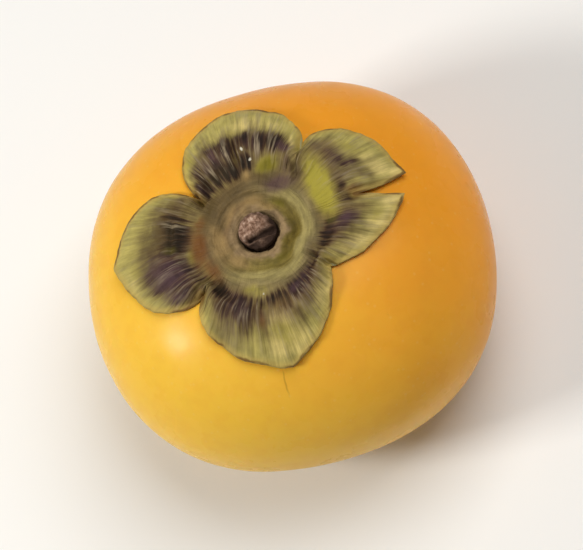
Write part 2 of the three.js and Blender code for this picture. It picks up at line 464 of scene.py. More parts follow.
# The outline's corners, anticlockwise, tips and the notches between them: azimuth, radius, whether it
# is a tip; and of the side that leads on, its taper, from 0, round-shouldered, to 1, evenly narrowing,
# its bluntness at the tip, 1 for a point and 2 for a round end, and its share of the columns.
OUTLINE = [
    (-64, 15.1, False, 0.98, 1, 13),
    (-20, 27.6, True, 0.85, 1, 4),
    (-16.2, 19.2, False, 0.85, 1, 4),  # end of the tear
    (-11.7, 29.1, True, 0.33, 1, 13),
    (30.5, 19.2, False, 0.8, 2, 13),
    (72.8, 27.3, True, 0.75, 2, 14),
    (112, 13.3, False, 0.35, 1.1, 14),
    (150, 29.8, True, 0.57, 1.1, 13),
    (191, 15.8, False, 0.55, 1, 14),
    (247, 25.7, True, 0.95, 1, 14),
]
TEAR = 2  # which corner is the end of the tear
COLUMN_DENSITY = 5

# Rings of the mesh, from the middle of the disc out and back along the underside.
DISC_STEPS, BLADE_STEPS = 40, 46
UNDER_BLADE_STEPS, UNDER_DISC_STEPS = 16, 12

THICKNESS = (1.2, 0.85)  # of a sepal, at its root and towards its rim
THIN_WIDTH = 2.2  # how far in from the rim it thins to the rim's thickness

# The disc's rings: radius, and height of the upper face above the underside.
DISC_RINGS = [(0, 0.8), (4.0, 0.8), (4.4, 1.9), (5.5, 2.25), (7.1, 1.6), (8.8, 2.1), (12.0, 1.2)]
GROOVE = (6.8, 0.8, -40, 58)  # deepest part: radius and half-width, azimuth and half-width
# Thin rings outside the ridge, on the side below it: radius and height.
FINE_RINGS = [(9.9, 0.16), (10.8, 0.12), (11.7, 0.10)]

# Patches, as ellipses seen from above: x, y, half-length and half-width in mm, the long axis's
# azimuth, and strength.
# Dark patches: partly the sepals' own dark colour and partly painted shade near the disc and in the
# folds.
DARK_AND_PAINTED_SHADE_PATCHES = [
    (-12.4, 10.9, 3.7, 2.4, 80, 1.25),
    (-14.6, 8.2, 2.8, 1.9, -30, 0.95),
    (-18.4, 3.8, 6.2, 4.2, -52, 0.98),
    (-17, 1.3, 2.5, 1.9, -30, 1),
    (-17.3, 4.4, 2.3, 1.6, -30, 0.95),
    (-19.4, 8.6, 4.6, 3, -35, 0.58),
    (-10.6, 13.8, 3.7, 2.5, -70, 0.45),
    (-13.4, 16.4, 3.9, 2.5, -10, 0.32),
    (-15.2, -1, 2.8, 1.8, 0, 0.62),
    (-17.6, -1.8, 4, 3, -40, 1.1),
    (-19.4, 1.8, 4, 3, -60, 0.66),
    (-4, 13.2, 3, 2.4, -90, 0.85),
    (-1.8, 16.6, 4.1, 2.5, 80, 0.66),
    (1.4, 19, 3.2, 2.8, 80, 0.64),
    (0.8, 14.4, 3.7, 2.2, -90, 0.98),
    (2.6, 13, 2.5, 2, 75, 1.2),
    (5, 17.4, 3.2, 2.4, 75, 1.1),
    (3.6, 15.2, 3.4, 2, 75, 0.62),
    (6, 13.2, 2, 1.6, 60, 1.05),
    (8.3, 17.2, 2.5, 2, -20, 1.05),
    (10.2, 15, 3.2, 2.5, -35, 0.98),
    (12.4, 12.8, 3, 2.1, -60, 1.1),
    (13.5, 10.4, 2.5, 1.6, -75, 0.62),
    (18.3, 6.8, 2.8, 2.2, -60, 0.46),
    (19.4, 4.2, 2.5, 2, -75, 0.52),
    (20.2, 1.8, 2.5, 1.6, -70, 0.7),
    (19.6, -0.6, 3, 2.2, -80, 0.42),
    (22.2, 0.2, 2.3, 1.4, -60, 0.62),
    (23, -2.4, 2, 1.4, -60, 0.45),
    (17.4, -2.8, 2.2, 1.2, 60, 0.5),
    # Painted shadow: a dark line under the upper tine at the tear's inner end.
    (18, -5.7, 2.3, 1, -10, 1),
    (14.6, -8.6, 3.9, 2.1, -8, 0.7),
    (9, -8.8, 3, 1.9, 10, 0.85),
    (11.6, -7.4, 1.7, 1.2, 0, 0.8),
    (17.8, -7.8, 3, 1.5, -25, 0.48),
    (7, -9.4, 1.8, 1.5, 20, 0.62),
    (12, -11.6, 3.7, 1.5, -20, 0.34),
    (-11.9, -4.8, 2.2, 1.6, 70, 1.2),
    (-11.2, -9.8, 3.9, 2.4, 75, 0.88),
    (-13.8, -8.6, 4.1, 3, 70, 0.52),
    (-12.6, -13, 3.2, 2.2, 60, 0.52),
    (-9.4, -12.8, 2.5, 1.9, 60, 0.46),
    (-4.6, -12, 3.9, 1.5, -8, 0.7),
    (-0.6, -13, 3, 2.5, 20, 1),
    (2.4, -11.8, 3, 2, 30, 0.9),
    (5.4, -9.8, 2.3, 1.6, 35, 0.75),
    (-3.4, -14, 2.5, 2, 80, 0.66),
    (0.4, -16.4, 3.7, 2.2, 80, 0.4),
    (-16, 7.2, 2.6, 2.1, -30, 0.95),
    (-18.6, 1, 3.8, 2, -32, 0.8),
    (0, 12.2, 5, 1.6, 0, 0.5),
    (4, -10.3, 3.6, 1.6, 25, 0.5),
]
GREEN_PATCHES = [
    (14.3, -0.1, 6.2, 2.5, 77, 1.2),
    (-6.4, -8.2, 2.8, 2, -25, 0.72),
    (8.8, 10, 2.6, 1.8, -15, 0.85),
    (-3.2, 21.4, 2.8, 1.6, -65, 0.55),
    (23.2, 3.6, 2.4, 1.6, -50, 0.5),
    (19.6, -10.6, 2.6, 1.3, 20, 0.5),
    (-7.4, -18.8, 4.6, 3, -55, 0.5),
    (-12.8, 4.2, 2.4, 1.3, 60, 0.42),
    (-22.6, 10.2, 3, 1.6, -90, 0.35),
]
# Moss patches: deep green, partly painted shade in the groove and the creases.
MOSS_AND_PAINTED_SHADE_PATCHES = [
    (8.9, 9.9, 2, 1.4, -15, 1),
    (6.2, 2.6, 1.9, 1.2, -50, 0.7),
    (-15.4, 7.8, 2, 1.1, -30, 0.5),
    (0.2, -6.6, 3.6, 0.9, 0, 0.5),
]
RUST_PATCHES = [
    (-10.6, 4.8, 4.6, 1.9, 62, 1),
    (-11.2, -0.4, 3.2, 1.8, -85, 0.85),
    (-8.4, 8.2, 2.4, 1.5, 40, 0.8),
    (-9.4, -14.6, 2.4, 1, 60, 0.6),
    # Painted shadow: a red-brown line under the upper tine at the tear's inner end.
    (19, -4.3, 2.2, 0.9, -10, 0.75),
    (-16.2, -8.6, 2.4, 1.6, 80, 0.35),
]
# Mauve patches: dull purple, partly the sepals' own tint and partly painted shade over the dark bands.
MAUVE_AND_PAINTED_SHADE_PATCHES = [
    (8.6, 5.4, 3.6, 1.9, -20, 1),
    (11.4, 7.2, 2.4, 1.6, 30, 0.6),
    (-19.4, 3.8, 4.4, 2.8, -52, 0.8),
    (1.6, 18, 2.8, 1, 75, 0.8),
    (-4.2, 13, 2, 1.5, -90, 0.55),
    (10.4, 15, 2.8, 1.5, -40, 0.36),
    (13.2, 10.6, 2.2, 1.3, -75, 0.8),
    (14.8, -8.6, 2.8, 1.4, -8, 0.9),
    (-0.8, -13.2, 2.2, 1.4, 20, 0.75),
    (-10.6, -11, 2.6, 1.2, 75, 0.55),
    (19.4, 1.6, 3.6, 1.6, -75, 0.5),
    (18.4, 8.2, 2.2, 1.6, -40, 0.5),
    (0.8, 17.2, 5, 3.2, 0, 0.55),
    (9.2, 15.4, 4.6, 2.8, -35, 0.4),
    (-18.6, 4.6, 6, 4.2, -52, 0.85),
    (-11.4, -9.6, 4.4, 2.8, 75, 0.55),
    (0.6, -13.2, 4.6, 2.4, 20, 0.55),
    (20.2, 3.6, 4.4, 2.2, -75, 0.55),
    (13.8, -8.8, 4.6, 2, -8, 0.55),
    (-19.6, 0.2, 4, 2.2, -35, 0.7),
    (9.8, 5.8, 3.8, 2.2, -20, 0.6),
    (-22, 7.4, 4, 2.6, 90, 0.42),
    (-15.6, -11.8, 4.6, 2.8, 78, 0.58),
    (21.2, 0, 3, 1.8, -75, 0.6),
]
# Painted shade: darker olive-brown on the disc's +Y side, across the left sepal and between the dark
# streaks.
PAINTED_SHADE_PATCHES = [
    (-5, 9.4, 4.2, 2, 30, 0.85),
    (0.2, 9.2, 4.6, 1.3, 5, 0.65),
    (-10.2, 14.6, 3, 2, -65, 0.6),
    (12.6, 4.8, 1.8, 0.9, 50, 0.95),
    (-11.6, -2.8, 2.2, 1.5, -70, 0.6),
    (9.8, -5.6, 2.4, 1.2, 50, 0.4),
    (-15.4, -15.2, 3.2, 1.2, -50, 0.45),
    (-16.5, 12.5, 5.5, 4.5, 40, 0.86),
    (-20.6, 7, 4.6, 3.4, 90, 0.74),
    (-21.2, 13.4, 3.6, 3, 0, 0.34),
    (-13, 16.6, 4.5, 2.8, 0, 0.45),
    (0.5, 15, 5, 3.2, 0, 0.5),
    (8, 7.8, 4, 2.4, -25, 0.8),
    (11, 3, 2, 1.6, 60, 0.6),
    (-17.6, -10.5, 4.6, 1.8, 80, 0.55),
    (-11.8, -11.5, 4.4, 3.2, 75, 0.45),
]
TAN_PATCHES = [
    (19.5, 6, 4.2, 3.4, -60, 0.42),
    (17.6, -8.2, 4.6, 2.2, -10, 0.36),
    (-5, -14.6, 5, 3, 0, 0.36),
    (-7.3, 2.8, 4.2, 1.6, 72, 1),
    (-6.4, -2, 2.8, 1.4, -70, 0.75),
    (-2.4, 6.4, 2.6, 1.1, 25, 0.75),
    (2.4, 6, 2.6, 1.3, -25, 0.7),
    (4.5, 10.8, 1.5, 0.9, 60, 0.8),
    (4, 3.4, 2.6, 1, -45, 0.75),
    (0.2, 5.4, 2.4, 0.9, 0, 0.65),
]
# Pale patches: dry tips, and painted light on the right and lowest sepals' margins, on a fold's bank and
# along the tear's lower edge.
PALE_AND_PAINTED_LIGHT_PATCHES = [
    (10.4, 20.6, 3.4, 2.4, -35, 0.75),
    (25, -2, 3.4, 2.2, -70, 0.9),
    (27.2, -4.8, 1.9, 1, -10, 0.9),
    (24.2, -9, 3.2, 1.5, 12, 1.1),
    (21, -6.9, 3.4, 0.9, -18, 0.8),
    (-7.6, -20.2, 4.8, 2.8, -20, 1),
    (19.4, -11.6, 4, 1.9, 12, 0.9),
    (-6.5, -16.8, 4.2, 2.8, -60, 0.62),
    (14, -12.9, 6, 1.5, -4, 0.75),
    (2.6, -16.6, 3.8, 2.2, 30, 0.72),
    (-24.8, 8.6, 3.6, 1.5, -90, 0.45),
    (14.6, 16.4, 3.2, 1.3, -60, 0.5),
    (14.2, 9, 3.4, 0.7, 62, 0.9),
    (-12.8, -15.8, 3, 1, -50, 0.3),
]
# Painted glints: small pale spots that stand for highlights on the sepals.
PAINTED_GLINTS = [
    (6.9, 15.5, 0.55, 0.32, 80, 1),
    (7, 12.9, 0.42, 0.36, 1, 1),
    (-6.2, -10.2, 0.4, 0.28, 20, 0.8),
]
PATCHES = {
    "dark": DARK_AND_PAINTED_SHADE_PATCHES,
    "green": GREEN_PATCHES,
    "rust": RUST_PATCHES,
    "mauve": MAUVE_AND_PAINTED_SHADE_PATCHES,
    "moss": MOSS_AND_PAINTED_SHADE_PATCHES,
    "pale": PALE_AND_PAINTED_LIGHT_PATCHES,
    "shade": PAINTED_SHADE_PATCHES,
    "tan": TAN_PATCHES,
    "painted_glint": PAINTED_GLINTS,
}

# Creases, seen from above: both ends in mm, depth, and the rise of the bank to the left.
CREASES = [
    ((17.3, 11.4), (11.0, 4.0), 0.8, 1.0),  # between the top sepal and the torn one
    ((7.6, -14.0), (4.7, -8.8), 0.8, 0.8),  # between the torn sepal and the lowest one
    ((-15.8, -2.0), (-11.4, -1.2), 0.6, 0.3),
    ((-5.4, 13.7), (-5.4, 10.6), 0.5, 0.3),
    ((6.6, 19.6), (4.4, 12.5), 0.7, 0.3),  # fold in the top sepal
    ((-15.4, 7.3), (-11.4, 12.5), 0.7, 0.2),  # fold in the left sepal
]


def patch_weight(patches, x, y):
    """Strength at a point of whichever patch is strongest there."""
    total = 0.0
    for centre_x, centre_y, half_length, half_width, turn, strength in patches:
        dx, dy = x - centre_x, y - centre_y
        if dx * dx + dy * dy > 9 * half_length * half_length:
            continue
        c, s = math.cos(math.radians(turn)), math.sin(math.radians(turn))
        along, across = (dx * c + dy * s) / half_length, (dy * c - dx * s) / half_width
        total = max(total, strength * math.exp(-along * along - across * across))
    return total


def side_shape(share, taper, blunt):
    """How far out the outline is on its way from a notch, 0, to a tip, 1."""
    return (1 - taper) * math.sqrt(max(0.0, 1 - (1 - share) ** 4)) + taper * (1 - (1 - share) ** blunt)


def outline_columns():
    """The meridians of the calyx: azimuth, reach of the rim, reach as if untorn, nearness to a tip."""
    columns = []
    for index, (azimuth, radius, is_tip, taper, blunt, steps) in enumerate(OUTLINE):
        after = (index + 1) % len(OUTLINE)
        next_azimuth, next_radius = OUTLINE[after][:2]
        turn = (next_azimuth - azimuth) % 360
        notch_radius, tip_radius = (next_radius, radius) if is_tip else (radius, next_radius)
        torn = TEAR in (index, after)
        for step in range(steps * COLUMN_DENSITY):
            along = step / (steps * COLUMN_DENSITY)
            from_notch = (1 - along if is_tip else along) ** 1.5
            here = azimuth + turn * (1 - from_notch if is_tip else from_notch)
            reach = lerp(notch_radius, tip_radius, side_shape(from_notch, taper, blunt))
            columns.append(torn_column(here, reach) if torn else (here, reach, reach, from_notch))
    return columns


def torn_column(azimuth, reach):
    """A meridian in the tear: beyond the rim the sepal would go on from tip to tip."""
    first, last = OUTLINE[TEAR - 1], OUTLINE[TEAR + 1]
    share = (azimuth - first[0]) / (last[0] - first[0])
    return azimuth, reach, lerp(first[1], last[1], share), 1.0


def groove_share(azimuth, radius):
    """How deep the groove inside the disc's ridge is: 1 on the side where it is deepest."""
    ring, half_width, middle, half_turn = GROOVE
    return bump(radius - ring, half_width) * bump(turn_between(middle, azimuth), half_turn)


def disc_height(azimuth, radius):
    """Height of the disc's upper face above the underside, with round rings."""
    height = DISC_RINGS[-1][1]
    for (inner, low), (outer, high) in zip(DISC_RINGS, DISC_RINGS[1:]):
        if radius <= outer:
            height = lerp(low, high, smoothstep(radius, inner, outer))
            break
    below = bump(turn_between(285, azimuth), 65)
    rings = sum(rise * bump(radius - ring, 0.28) for ring, rise in FINE_RINGS)
    return height - 0.7 * groove_share(azimuth, radius) + rings * below


def blade_lift(azimuth, blade, tipness):
    """How far the underside stands off the fruit: swollen mid-sepal, a waved rim and curled tips."""
    crest = max(0.0, 2.0 * (bump(blade - 0.4, 0.3) - bump(0.4, 0.3))) * clamp(4 * blade)
    wave = 0.8 * (0.5 + 0.5 * turn_cosine(azimuth - 40, 13)) * blade**2 * (1 - tipness)
    return crest + wave + 1.1 * (tipness * blade) ** 4


def vein(azimuth, radius):
    """Veins that fan out from the disc, about 1 mm apart across a sepal: 0 between them, 1 on one."""
    sway = 0.02 * noise.noise(Vector((azimuth / 9, radius / 5, 3)))
    angle = math.radians(azimuth) + sway
    fan = Vector((math.cos(angle) * 15, math.sin(angle) * 15, radius / 14))
    finer = Vector((math.cos(angle) * 34, math.sin(angle) * 34, radius / 9))
    return clamp(1.1 - 4 * abs(noise.noise(fan))) * 0.7 + clamp(1.1 - 4 * abs(noise.noise(finer))) * 0.3


def crease(point_x, point_y):
    """Height that the creases add at a point seen from above."""
    total = 0.0
    for (x0, y0), (x1, y1), depth, bank in CREASES:
        run_x, run_y = x1 - x0, y1 - y0
        length = math.hypot(run_x, run_y)
        along = ((point_x - x0) * run_x + (point_y - y0) * run_y) / length**2
        across = ((point_x - x0) * run_y - (point_y - y0) * run_x) / length
        fade = smoothstep(along, -0.25, 0.1) * (1 - smoothstep(along, 0.75, 1.15))
        total += fade * (bank * bump(across - 0.9, 0.8) - depth * bump(across, 0.45))
    return total


class CalyxSurface:
    """The calyx as a grid of meridians and rings, the upper face first and the underside after it."""

    def __init__(self, fruit, calyx, equator):
        self.fruit, self.calyx, self.equator = fruit, calyx, equator
        self.columns = outline_columns()
        upper = [(i / DISC_STEPS, 0.0) for i in range(DISC_STEPS)]
        upper += [(1.0, i / BLADE_STEPS) for i in range(BLADE_STEPS + 1)]
        lower = [(1.0, 1 - i / UNDER_BLADE_STEPS) for i in range(UNDER_BLADE_STEPS + 1)]
        lower += [(1 - i / UNDER_DISC_STEPS, 0.0) for i in range(1, UNDER_DISC_STEPS + 1)]
        self.rows = [(*row, True) for row in upper] + [(*row, False) for row in lower]
        self.rim = kdtree.KDTree(len(self.columns))
        for index, (azimuth, reach, _, _) in enumerate(self.columns):
            self.rim.insert((*self.wavy(azimuth, reach)[1:], 0), index)
        self.rim.balance()

    def ring_radius(self, azimuth, radius):
        """The disc's rings are a little square and uneven, and the pit is nearer to the +Y side.

        Returns the radius that a round ring would have."""
        angle = math.radians(azimuth)
        radius += (0.45 - 0.25 * math.sin(angle)) * bump(radius - 4.2, 1.8)
        around = Vector((math.cos(angle), math.sin(angle), 0.3))
        uneven = 0.03 * turn_cosine(azimuth - 42, 4) + 0.12 * noise.noise(around * 2.2)
        uneven += 0.05 * noise.noise(around * 6) * (1 - smoothstep(radius, 6, 8))
        return radius * (1 + uneven * smoothstep(radius, 3.2, 5.2) * (1 - smoothstep(radius, 10, 12)))

    def wavy(self, azimuth, reach):
        """The rim's reach with its small waves and nicks, and where that is, seen from above."""
        angle = math.radians(azimuth)
        around = Vector((math.cos(angle), math.sin(angle), 0))
        reach += 0.35 * noise.noise(around * 6) + 0.16 * noise.noise(around * 22)
        return reach, reach * around.x, reach * around.y

    def vertex(self, ring, column):
        """The place of a vertex, and what the material needs to know of it."""
        azimuth, reach, full, tipness = self.columns[column]
        disc_share, blade_share, is_upper = self.rows[ring]
        disc_radius = self.calyx.disc_radius
        radius = disc_radius * disc_share
        if blade_share:
            radius = lerp(disc_radius, self.wavy(azimuth, reach)[0], blade_share)
        blade = clamp((radius - disc_radius) / (full - disc_radius))
        angle = math.radians(azimuth)
        x, y = radius * math.cos(angle), radius * math.sin(angle)
        rim_distance = self.rim.find((x, y, 0))[2]
        z = self.equator + upper_skin(self.fruit, azimuth, radius) + self.calyx.gap
        z += blade_lift(azimuth, blade, tipness)
        ribs = vein(azimuth, radius) if radius > 6 else 0.0
        if is_upper:
            thin = smoothstep(rim_distance, 0, THIN_WIDTH)
            inner = lerp(*THICKNESS, blade)
            if not blade:
                inner = disc_height(azimuth, self.ring_radius(azimuth, radius))
            z += lerp(self.calyx.rim_thickness, inner, max(thin, 1 - smoothstep(blade, 0, 0.1)))
            z += self.relief(azimuth, radius, blade, ribs)
            z += crease(x, y)
        return Vector((x, y, z)) * MM, self.traits(azimuth, radius, blade, rim_distance, ribs, is_upper)

    def relief(self, azimuth, radius, blade, ribs):
        """Veins on the sepals, and faint rings and pits on the disc."""
        angle = math.radians(azimuth)
        around = Vector((math.cos(angle) * radius, math.sin(angle) * radius, 0))
        rough = 0.16 * noise.noise(around / 1.3) + 0.3 * noise.noise(around / 4)
        rough += 0.5 * noise.noise(around / 1.1) * bump(radius - 5.4, 1.0)
        veins = self.calyx.vein_height * (ribs - 0.5) * smoothstep(radius, 8, 14)
        return veins * (1 - 0.5 * smoothstep(blade, 0.8, 1)) + rough * smoothstep(radius, 3.5, 6)

    def traits(self, azimuth, radius, blade, rim_distance, ribs, is_upper):
        """What the material needs to know of a point, by the attribute's name."""
        angle = math.radians(azimuth)
        x, y = radius * math.cos(angle), radius * math.sin(angle)
        return {
            "fan": (math.cos(angle) * 16, math.sin(angle) * 16, radius),
            "radius": self.ring_radius(azimuth, radius),
            "blade": blade,
            "rim": rim_distance,
            "vein": ribs,
            "upper": float(is_upper),
            "groove": groove_share(azimuth, self.ring_radius(azimuth, radius)),
            **{name: patch_weight(patches, x, y) for name, patches in PATCHES.items()},
        }


def calyx_material(calyx):
    """Kaki sepals, half dried: leathery, dull, streaked along the veins, with a thin brown edge."""
    material, tree, shader = new_material("kaki_sepal_leathery")
    place = add(tree, "ShaderNodeTexCoord").outputs["Object"]
    fan = attribute(tree, "fan", "Vector")
    radius, blade, rim = attribute(tree, "radius"), attribute(tree, "blade"), attribute(tree, "rim")
    veins, upper = attribute(tree, "vein"), attribute(tree, "upper")

    # Streaks run out along the veins: about 0.7 mm wide and fifteen times as long. On the disc the
    # wrinkles run round the stalk.
    along = scaled(tree, fan, (1, 1, 0.07))
    streak = grain(tree, along, 0.9, 4, 0.6)
    fine = grain(tree, along, 0.30, 2)
    wrinkle = grain(tree, scaled(tree, fan, (0.09, 0.09, 1)), 0.75, 3, 0.6)
    mottle = grain(tree, place, 1.8 * MM, 4, 0.6)
    cloud = grain(tree, place, 5 * MM, 2)

    ground = blend(tree, between(tree, cloud, 0.36, 0.60), calyx.brown, calyx.olive)
    outer = maths(tree, "ADD", blade, times(tree, streak, 0.7))
    outer = maths(tree, "ADD", outer, times(tree, cloud, 0.5))
    base = blend(tree, between(tree, outer, 0.92, 1.46), ground, calyx.margin)
    # Pale patches: dry tips, and painted light on margins, a fold's bank and the tear's lower edge.
    pale = times(tree, attribute(tree, "pale"), between(tree, streak, 0.3, 0.6, 0.6, 1.1))
    base = blend(tree, between(tree, pale, 0.10, 1.0, 0.0, 0.9), base, calyx.pale)
    base = dimmed(tree, base, between(tree, streak, 0.3, 0.7, 0.84, 1.14))
    base = dimmed(tree, base, between(tree, fine, 0.3, 0.7, 1.12, 0.88))
    base = dimmed(tree, base, between(tree, mottle, 0.3, 0.7, 0.90, 1.08))

    # The dark band crosses each sepal near its foot, and its outer end frays into streaks. Its darkness
    # is partly the sepals' own colour and partly painted shade where each sepal dips towards the disc and
    # in the folds.
    band_in = between(tree, blade, -0.02, 0.10)
    band_out = between(tree, outer, 1.30, 0.75)
    band = times(tree, times(tree, band_in, band_out), 0.32)
    dark = maths(tree, "ADD", band, attribute(tree, "dark"))
    frayed = times(tree, dark, between(tree, streak, 0.30, 0.66, 0.42, 1.32))
    frayed = times(tree, frayed, between(tree, fine, 0.35, 0.65, 0.80, 1.15))
    base = blend(tree, between(tree, frayed, 0.05, 0.80), base, calyx.dark)
    base = blend(tree, between(tree, frayed, 0.52, 1.15, 0.0, 0.95), base, calyx.blackest)

    green = times(tree, attribute(tree, "green"), between(tree, mottle, 0.25, 0.6, 0.7, 1.1))
    base = blend(tree, between(tree, green, 0.10, 0.90), base, calyx.green)

    # The disc: tan lip, dark olive groove made darker still with painted shade, a lighter ridge that is
    # partly painted light, drier outside it and rust on one side.
    ringed = maths(tree, "ADD", radius, times(tree, mottle, 1.4))
    on_disc = between(tree, ringed, 12.9, 10.9)
    side = between(tree, toward(tree, place, (0.5, -0.87, 0)), -8 * MM, 5 * MM)
    ring = blend(tree, between(tree, ringed, 6.8, 8.4), linear("#7E6444"), linear("#705C3A"))
    light = blend(tree, between(tree, ringed, 8.2, 9.4), linear("#83733A"), linear("#9A8B54"))
    light = blend(tree, between(tree, ringed, 10.2, 11.6), light, linear("#8A7A50"))
    ring = blend(tree, side, ring, light)
    ring = blend(tree, between(tree, ringed, 7.0, 6.0), ring, linear("#957C58"))
    ring = blend(tree, times(tree, attribute(tree, "groove"), 0.85), ring, linear("#5C4C14"))
    ring = dimmed(tree, ring, between(tree, wrinkle, 0.35, 0.65, 0.82, 1.14))
    ring = dimmed(tree, ring, between(tree, mottle, 0.3, 0.7, 0.90, 1.08))
    base = blend(tree, on_disc, base, ring)
    # Tints in patches: shade is painted shade; moss and mauve are partly the sepals' own colours and
    # partly painted shade; rust is their own colour but also paints a shadow at the tear; tan is their
    # own colour.
    for name, fade, tint in (
        ("shade", 0.85, linear("#544426")),
        ("moss", 0.85, calyx.moss),
        ("tan", 0.95, calyx.tan),
        ("rust", 0.90, calyx.rust),
        ("mauve", 0.75, calyx.mauve),
    ):
        weight = times(tree, attribute(tree, name), between(tree, mottle, 0.25, 0.6, 0.75, 1.1))
        base = blend(tree, between(tree, weight, 0.10, 1.0, 0.0, fade), base, tint)
    # Painted shade in the pit round the stalk: near black, easing to brown on its +Y side.
    less_pit_shade = between(tree, toward(tree, place, (-0.35, 0.94, 0)), -1.5 * MM, 2.5 * MM)
    pit = blend(tree, less_pit_shade, linear("#2C1B0C"), linear("#6A503A"))
    base = blend(tree, between(tree, radius, 4.3, 3.8), base, pit)
    # Painted glints: small pale spots that stand for highlights.
    base = blend(tree, between(tree, attribute(tree, "painted_glint"), 0.35, 0.8), base, linear("#D2CCB8"))

    # Pale veins show across the dark bands, least on the -X side, and the rim is thin enough to look
    # yellow.
    lines = times(tree, between(tree, veins, 0.45, 0.95), between(tree, fine, 0.35, 0.6))
    lines = times(tree, lines, between(tree, blade, 0.05, 0.25))
    lines = times(tree, lines, between(tree, dark, 0.2, 1.0, 0.36, 0.74))
    place_x = add(tree, "ShaderNodeSeparateXYZ", {0: place}).outputs["X"]
    lines = times(tree, lines, between(tree, place_x, -17 * MM, -9 * MM, 0.45, 1.0))
    base = blend(tree, lines, base, linear("#A99779"))
    base = blend(tree, between(tree, rim, 1.5, 0.2, 0.0, 0.4), base, linear("#C4A250"))

    # Dried edge, 0.2 to 0.5 mm wide, and missing in places.
    worn = maths(tree, "ADD", times(tree, streak, -0.7), times(tree, cloud, -0.4))
    edge = between(tree, maths(tree, "ADD", rim, worn), -0.02, -0.38)
    edge = times(tree, edge, between(tree, cloud, 0.42, 0.60, 0.10, 0.85))
    base = blend(tree, edge, base, calyx.edge)
    base = blend(tree, upper, linear("#9A9266"), base)

    bumps = raised(tree, fine, 0.18 * MM, 0.8)
    bumps = raised(tree, times(tree, wrinkle, on_disc), 0.40 * MM, 0.8, bumps)
    bumps = raised(tree, grain(tree, place, 0.5 * MM, 3), 0.08 * MM, 0.6, bumps)
    connect(
        tree,
        shader,
        Base_Color=base,
        Roughness=between(tree, streak, 0.3, 0.7, 0.52, 0.74),
        Normal=bumps,
        IOR=1.45,
        Specular_IOR_Level=0.2,
    )
    return material


class PERSIMMON_OT_calyx(bpy.types.Operator):
    """Makes the calyx: a ringed disc round the stalk and four waved sepals, one of them torn"""

    bl_idname = "persimmon.calyx"
    bl_label = "Calyx"

    def execute(self, context):
        fruit, calyx = context.scene.persimmon_fruit, context.scene.persimmon_calyx
        surface = CalyxSurface(fruit, calyx, equator_height(fruit))
        rings, columns = len(surface.rows) - 1, len(surface.columns)
        piece = new_sphere(context, "calyx_sepals", columns, rings)
        traits = []
        for vertex in piece.data.vertices:
            vertex.co, trait = surface.vertex(*ring_and_column(vertex, rings, columns))
            traits.append(trait)
        for name in traits[0]:
            kind = "FLOAT_VECTOR" if name == "fan" else "FLOAT"
            put_attribute(piece.data, name, [trait[name] for trait in traits], kind)
        finish_piece(piece, "calyx", calyx_material(calyx))
        return {"FINISHED"}


# ---------------------------------------------------------------- stem stub


def stub_material(stalk):
    """A broken stalk of dry wood: pale pinkish where it broke, with pale knob tops that are partly
    painted highlight, dark bark, and near black painted shade in the cracks and low on its sides.
    """
    material, tree, shader = new_material("stalk_wood_broken")
    place = add(tree, "ShaderNodeTexCoord").outputs["Object"]
    hollow = attribute(tree, "hollow")
    fibres = add(tree, "ShaderNodeMapping", {"Vector": place, "Scale": (1, 1, 0.25)}).outputs[0]
    knots = grain(tree, fibres, 0.7 * MM, 4, 0.65)
    base = blend(tree, between(tree, knots, 0.34, 0.62), linear("#6A4C38"), stalk.stub_wood)
    # The knobs' tops are pale: partly the broken fibres' own colour and partly painted highlight.
    base = blend(tree, between(tree, knots, 0.58, 0.72), base, linear("#CDB29E"))
    # Bark colour on the bark and, as painted shade, in the cracks and low on the sides.
    base = blend(tree, between(tree, hollow, 0.15, 0.75), base, stalk.stub_bark_and_shade)
    bumps = raised(tree, knots, 0.35 * MM, 0.9)
    connect(tree, shader, Base_Color=base, Roughness=0.86, Normal=bumps, IOR=1.5, Specular_IOR_Level=0.3)
    return material


